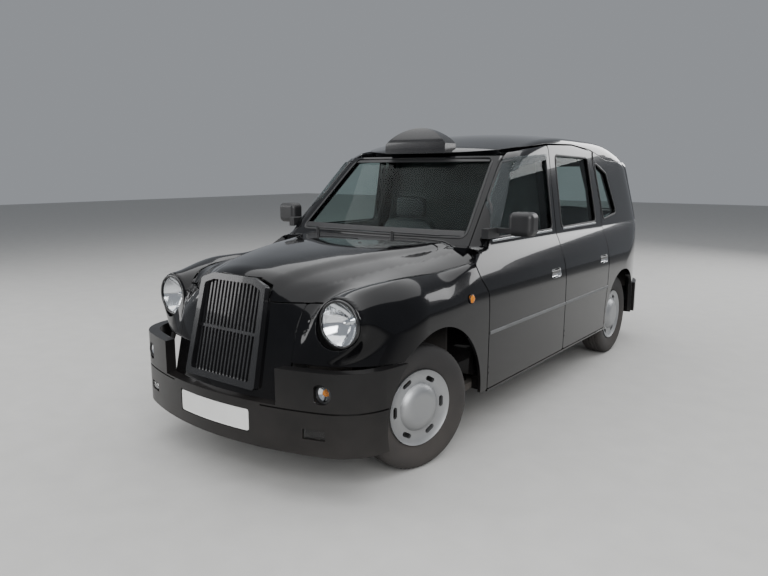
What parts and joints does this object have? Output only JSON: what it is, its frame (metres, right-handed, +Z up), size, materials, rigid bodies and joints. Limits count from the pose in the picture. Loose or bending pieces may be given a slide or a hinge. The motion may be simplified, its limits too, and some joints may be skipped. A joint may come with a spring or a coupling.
{
  "type": "taxi cab",
  "caption": "Purpose-built black taxi cab with upright grille, round headlamps, roof sign, hinged doors, bonnet and boot lid, and steered front wheels.",
  "frame": {"origin": "on the ground, under the middle of the cab's length and width", "axes": "+Z up, the cab's front towards -Y, its left side towards +X"},
  "size_m": [2.036, 4.5805, 1.844],
  "materials": {
    "black_paint": "gloss",
    "bumper_paint": "gloss",
    "gloss_black_plastic": "satin",
    "lamp_glass": "clear",
    "lamp_plastic": "gloss",
    "chassis_paint": "matt",
    "window_glass": "clear",
    "seat_vinyl": "satin",
    "grey_plastic": "matt",
    "engine_iron": "matt",
    "dull_steel": "dull",
    "wheel_silver": "satin",
    "tyre_rubber": "matt"
  },
  "bodies": {
    "cab_body": {"side_frames": "black_paint", "roof": "black_paint", "rear_panel": "black_paint", "scuttle": "black_paint", "front_wings": "black_paint", "nose_panel": "black_paint", "grille": "gloss_black_plastic", "headlamps": "lamp_glass", "marker_lamps": "lamp_plastic", "floor_pan": "chassis_paint", "chassis_frame": "chassis_paint", "bumpers": "bumper_paint", "fixed_glass": "window_glass", "roof_sign": "gloss_black_plastic", "wipers": "gloss_black_plastic", "driver_seat": "seat_vinyl", "passenger_seats": "seat_vinyl", "dashboard": "grey_plastic", "partition": "grey_plastic", "engine_block": "engine_iron", "front_suspension": "chassis_paint", "rear_axle": "chassis_paint", "exhaust": "dull_steel", "fuel_tank": "dull_steel"},
    "bonnet": {"bonnet": "black_paint"},
    "boot_lid": {"boot_lid": "black_paint"},
    "front_door_left": {"front_door_left": "black_paint", "front_glass_left": "window_glass", "mirror_left": "grey_plastic"},
    "front_door_right": {"front_door_right": "black_paint", "front_glass_right": "window_glass", "mirror_right": "grey_plastic"},
    "rear_door_left": {"rear_door_left": "black_paint", "rear_glass_left": "window_glass"},
    "rear_door_right": {"rear_door_right": "black_paint", "rear_glass_right": "window_glass"},
    "knuckle_left": {"knuckle_left": "chassis_paint"},
    "knuckle_right": {"knuckle_right": "chassis_paint"},
    "track_rod": {"track_rod": "chassis_paint"},
    "steering_wheel": {"steering_wheel": "grey_plastic"},
    "wheel_front_left": {"wheel_front_left": "wheel_silver", "tyre_front_left": "tyre_rubber"},
    "wheel_front_right": {"wheel_front_right": "wheel_silver", "tyre_front_right": "tyre_rubber"},
    "wheel_rear_left": {"wheel_rear_left": "wheel_silver", "tyre_rear_left": "tyre_rubber"},
    "wheel_rear_right": {"wheel_rear_right": "wheel_silver", "tyre_rear_right": "tyre_rubber"}
  },
  "joints": [
    {"name": "bonnet_hinge", "type": "hinge", "parent": "cab_body", "child": "bonnet", "pos_m": [0, -1.022, 1.142], "axis": [-1, 0, 0], "range_deg": [0, 55]},
    {"name": "boot_hinge", "type": "hinge", "parent": "cab_body", "child": "boot_lid", "pos_m": [0, 2.191, 1.13], "axis": [1, 0, 0], "range_deg": [0, 80]},
    {"name": "front_door_left_hinge", "type": "hinge", "parent": "cab_body", "child": "front_door_left", "pos_m": [0.867, -0.9865, 0.575], "axis": [0, 0, -1], "range_deg": [0, 65]},
    {"name": "front_door_right_hinge", "type": "hinge", "parent": "cab_body", "child": "front_door_right", "pos_m": [-0.867, -0.9865, 0.575], "axis": [0, 0, 1], "range_deg": [0, 65]},
    {"name": "rear_door_left_hinge", "type": "hinge", "parent": "cab_body", "child": "rear_door_left", "pos_m": [0.867, 0.1285, 0.575], "axis": [0, 0, -1], "range_deg": [0, 75]},
    {"name": "rear_door_right_hinge", "type": "hinge", "parent": "cab_body", "child": "rear_door_right", "pos_m": [-0.867, 0.1285, 0.575], "axis": [0, 0, 1], "range_deg": [0, 75]},
    {"name": "steer_left", "type": "hinge", "parent": "cab_body", "child": "knuckle_left", "pos_m": [0.61, -1.51, 0.336], "axis": [0, 0, 1], "range_deg": [-27, 57]},
    {"name": "steer_right", "type": "hinge", "parent": "cab_body", "child": "knuckle_right", "pos_m": [-0.61, -1.51, 0.336], "axis": [0, 0, 1], "range_deg": [-27, 57]},
    {"name": "track_rod_pivot", "type": "hinge", "parent": "knuckle_left", "child": "track_rod", "pos_m": [0.64882, -1.36511, 0.205], "axis": [0, 0, 1], "range_deg": [-57, 27]},
    {"name": "steering_wheel_turn", "type": "hinge", "parent": "cab_body", "child": "steering_wheel", "pos_m": [-0.38, -0.6, 0.95], "axis": [0, 0.9063, 0.4226], "range_deg": [-627, 297]},
    {"name": "wheel_front_left_spin", "type": "hinge", "parent": "knuckle_left", "child": "wheel_front_left", "pos_m": [0.70659, -1.53588, 0.336], "axis": [0.9659, -0.2588, 0], "continuous": true},
    {"name": "wheel_front_right_spin", "type": "hinge", "parent": "knuckle_right", "child": "wheel_front_right", "pos_m": [-0.70659, -1.48412, 0.336], "axis": [0.9659, -0.2588, 0], "continuous": true},
    {"name": "wheel_rear_left_spin", "type": "hinge", "parent": "cab_body", "child": "wheel_rear_left", "pos_m": [0.71, 1.376, 0.336], "axis": [1, 0, 0], "continuous": true},
    {"name": "wheel_rear_right_spin", "type": "hinge", "parent": "cab_body", "child": "wheel_rear_right", "pos_m": [-0.71, 1.376, 0.336], "axis": [1, 0, 0], "continuous": true}
  ],
  "couplings": [
    {"joint": "steer_right", "follows": "steer_left", "ratio": 1},
    {"joint": "track_rod_pivot", "follows": "steer_left", "ratio": -1},
    {"joint": "steering_wheel_turn", "follows": "steer_left", "ratio": -11}
  ]
}
